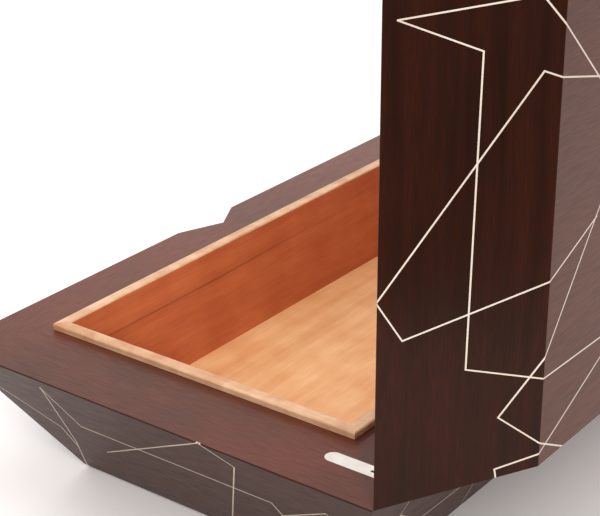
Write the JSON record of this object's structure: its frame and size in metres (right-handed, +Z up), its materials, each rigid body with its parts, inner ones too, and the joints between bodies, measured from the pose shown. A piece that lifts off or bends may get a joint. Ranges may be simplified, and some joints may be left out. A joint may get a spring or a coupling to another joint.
{
  "type": "hinged wooden box",
  "caption": "Faceted dark wood box with a hinged lid, a cedar tray and pale inlaid lines, standing open.",
  "frame": {"origin": "centre of the underside, under the middle of the base's rim", "axes": "+X to the box's right, -Y to the front with the finger notch, +Y to the hinges, +Z up"},
  "size_m": [0.47, 0.3701, 0.3877],
  "materials": {
    "dark_wood": "satin lacquered dark wood, fine straight grain",
    "cedar": "bare cedar",
    "pale_stringing": "pale inlaid holly, satin",
    "hinge_metal": "satin nickel plate",
    "felt": "black felt"
  },
  "bodies": {
    "base": {"base_bottom_panel": "dark_wood", "base_felt": "felt", "base_wall_front": "dark_wood", "base_wall_back": "dark_wood", "base_wall_left": "dark_wood", "base_wall_right": "dark_wood", "base_rim_front": "dark_wood", "base_rim_back": "dark_wood", "base_rim_left": "dark_wood", "base_rim_right": "dark_wood", "cedar_side_front": "cedar", "cedar_side_back": "cedar", "cedar_side_left": "cedar", "cedar_side_right": "cedar", "cedar_floor": "cedar", "base_stringing_front": "pale_stringing", "base_stringing_back": "pale_stringing", "base_stringing_left": "pale_stringing", "base_stringing_right": "pale_stringing", "hinge_leaf_base_left": "hinge_metal", "hinge_leaf_base_right": "hinge_metal", "hinge_pin_left": "hinge_metal", "hinge_pin_right": "hinge_metal"},
    "lid": {"lid_top_panel": "dark_wood", "lid_wall_front": "dark_wood", "lid_wall_back": "dark_wood", "lid_wall_left": "dark_wood", "lid_wall_right": "dark_wood", "lid_rim_front": "dark_wood", "lid_rim_back": "dark_wood", "lid_rim_left": "dark_wood", "lid_rim_right": "dark_wood", "lid_cedar_side_front": "cedar", "lid_cedar_side_back": "cedar", "lid_cedar_side_left": "cedar", "lid_cedar_side_right": "cedar", "lid_cedar_ceiling": "cedar", "lid_stringing_front": "pale_stringing", "lid_stringing_back": "pale_stringing", "lid_stringing_left": "pale_stringing", "lid_stringing_right": "pale_stringing", "lid_stringing_top": "pale_stringing", "hinge_leaf_lid_left": "hinge_metal", "hinge_leaf_lid_right": "hinge_metal"}
  },
  "joints": [
    {"name": "lid_hinge", "type": "hinge", "parent": "base", "child": "lid", "pos_m": [0, 0.15, 0.08765], "axis": [1, 0, 0], "range_deg": [0, 90]}
  ]
}
